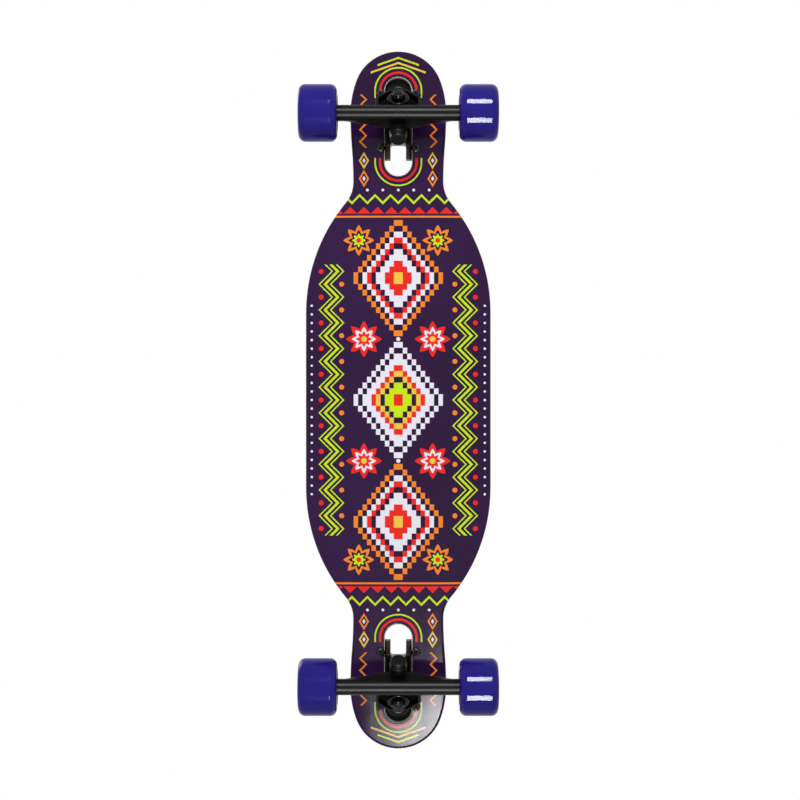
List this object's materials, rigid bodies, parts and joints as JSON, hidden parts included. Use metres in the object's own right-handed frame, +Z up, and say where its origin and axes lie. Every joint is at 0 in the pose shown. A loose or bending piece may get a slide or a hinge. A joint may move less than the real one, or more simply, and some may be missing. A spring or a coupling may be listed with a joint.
{
  "type": "longboard skateboard",
  "caption": "Drop-through longboard: concave deck with cut-away wheel wells, sprung reverse-kingpin trucks and soft wheels on ball bearings.",
  "frame": {"origin": "on the floor, midway between the four wheels", "axes": "+X across the board to its right, +Y along the board to the nose, +Z up from the floor to the deck"},
  "size_m": [0.226, 0.8128, 0.1073],
  "materials": {
    "printed_maple": "maple plies, printed underside under clear lacquer",
    "grip_tape": "black abrasive sheet",
    "black_casting": "black powder coat on cast aluminium",
    "soft_urethane": "cast urethane",
    "dark_steel": "black oxide",
    "bright_steel": "zinc plated",
    "bearing_steel": "ground bearing steel",
    "violet_urethane": "glossy cast urethane",
    "black_core": "moulded"
  },
  "bodies": {
    "deck": {"deck": "printed_maple", "grip_tape": "grip_tape", "front_baseplate": "black_casting", "front_pivot_cup": "soft_urethane", "front_kingpin": "dark_steel", "front_boardside_washer": "dark_steel", "front_boardside_bushing": "soft_urethane", "front_roadside_bushing": "soft_urethane", "front_roadside_washer": "dark_steel", "front_kingpin_nut": "dark_steel", "front_mounting_bolts": "dark_steel", "front_mounting_nuts": "dark_steel", "rear_baseplate": "black_casting", "rear_pivot_cup": "soft_urethane", "rear_kingpin": "dark_steel", "rear_boardside_washer": "dark_steel", "rear_boardside_bushing": "soft_urethane", "rear_roadside_bushing": "soft_urethane", "rear_roadside_washer": "dark_steel", "rear_kingpin_nut": "dark_steel", "rear_mounting_bolts": "dark_steel", "rear_mounting_nuts": "dark_steel"},
    "front_hanger": {"front_hanger": "black_casting", "front_axle": "bright_steel", "front_axle_nuts": "dark_steel", "front_speed_washers": "bright_steel", "front_bearing_spacers": "bright_steel", "front_bearing_inner_rings": "bearing_steel"},
    "rear_hanger": {"rear_hanger": "black_casting", "rear_axle": "bright_steel", "rear_axle_nuts": "dark_steel", "rear_speed_washers": "bright_steel", "rear_bearing_spacers": "bright_steel", "rear_bearing_inner_rings": "bearing_steel"},
    "front_right_wheel": {"front_right_wheel": "violet_urethane", "front_right_wheel_core": "black_core", "front_right_bearing_outer_rings": "bearing_steel", "front_right_bearing_shields": "bearing_steel"},
    "front_right_bearing_balls": {"front_right_bearing_balls": "bearing_steel", "front_right_bearing_cages": "bearing_steel"},
    "front_left_wheel": {"front_left_wheel": "violet_urethane", "front_left_wheel_core": "black_core", "front_left_bearing_outer_rings": "bearing_steel", "front_left_bearing_shields": "bearing_steel"},
    "front_left_bearing_balls": {"front_left_bearing_balls": "bearing_steel", "front_left_bearing_cages": "bearing_steel"},
    "rear_right_wheel": {"rear_right_wheel": "violet_urethane", "rear_right_wheel_core": "black_core", "rear_right_bearing_outer_rings": "bearing_steel", "rear_right_bearing_shields": "bearing_steel"},
    "rear_right_bearing_balls": {"rear_right_bearing_balls": "bearing_steel", "rear_right_bearing_cages": "bearing_steel"},
    "rear_left_wheel": {"rear_left_wheel": "violet_urethane", "rear_left_wheel_core": "black_core", "rear_left_bearing_outer_rings": "bearing_steel", "rear_left_bearing_shields": "bearing_steel"},
    "rear_left_bearing_balls": {"rear_left_bearing_balls": "bearing_steel", "rear_left_bearing_cages": "bearing_steel"}
  },
  "joints": [
    {"name": "front_truck_steer", "type": "hinge", "parent": "deck", "child": "front_hanger", "pos_m": [0, 0.333, 0.0635], "axis": [0, 0.7071, 0.7071], "range_deg": [-18, 18], "stiffness_Nm_per_rad": 60, "deforming": ["front_boardside_bushing", "front_roadside_bushing"]},
    {"name": "rear_truck_steer", "type": "hinge", "parent": "deck", "child": "rear_hanger", "pos_m": [0, -0.333, 0.0635], "axis": [0, -0.7071, 0.7071], "range_deg": [-18, 18], "stiffness_Nm_per_rad": 60, "deforming": ["rear_boardside_bushing", "rear_roadside_bushing"]},
    {"name": "front_right_wheel_spin", "type": "hinge", "parent": "front_hanger", "child": "front_right_wheel", "pos_m": [0, 0.325, 0.0325], "axis": [1, 0, 0], "continuous": true},
    {"name": "front_left_wheel_spin", "type": "hinge", "parent": "front_hanger", "child": "front_left_wheel", "pos_m": [0, 0.325, 0.0325], "axis": [1, 0, 0], "continuous": true},
    {"name": "rear_right_wheel_spin", "type": "hinge", "parent": "rear_hanger", "child": "rear_right_wheel", "pos_m": [0, -0.325, 0.0325], "axis": [1, 0, 0], "continuous": true},
    {"name": "rear_left_wheel_spin", "type": "hinge", "parent": "rear_hanger", "child": "rear_left_wheel", "pos_m": [0, -0.325, 0.0325], "axis": [1, 0, 0], "continuous": true},
    {"name": "front_right_ball_roll", "type": "hinge", "parent": "front_hanger", "child": "front_right_bearing_balls", "pos_m": [0, 0.325, 0.0325], "axis": [1, 0, 0], "continuous": true},
    {"name": "front_left_ball_roll", "type": "hinge", "parent": "front_hanger", "child": "front_left_bearing_balls", "pos_m": [0, 0.325, 0.0325], "axis": [1, 0, 0], "continuous": true},
    {"name": "rear_right_ball_roll", "type": "hinge", "parent": "rear_hanger", "child": "rear_right_bearing_balls", "pos_m": [0, -0.325, 0.0325], "axis": [1, 0, 0], "continuous": true},
    {"name": "rear_left_ball_roll", "type": "hinge", "parent": "rear_hanger", "child": "rear_left_bearing_balls", "pos_m": [0, -0.325, 0.0325], "axis": [1, 0, 0], "continuous": true}
  ],
  "couplings": [
    {"joint": "front_right_ball_roll", "follows": "front_right_wheel_spin", "ratio": 0.63233},
    {"joint": "front_left_ball_roll", "follows": "front_left_wheel_spin", "ratio": 0.63233},
    {"joint": "rear_right_ball_roll", "follows": "rear_right_wheel_spin", "ratio": 0.63233},
    {"joint": "rear_left_ball_roll", "follows": "rear_left_wheel_spin", "ratio": 0.63233}
  ]
}
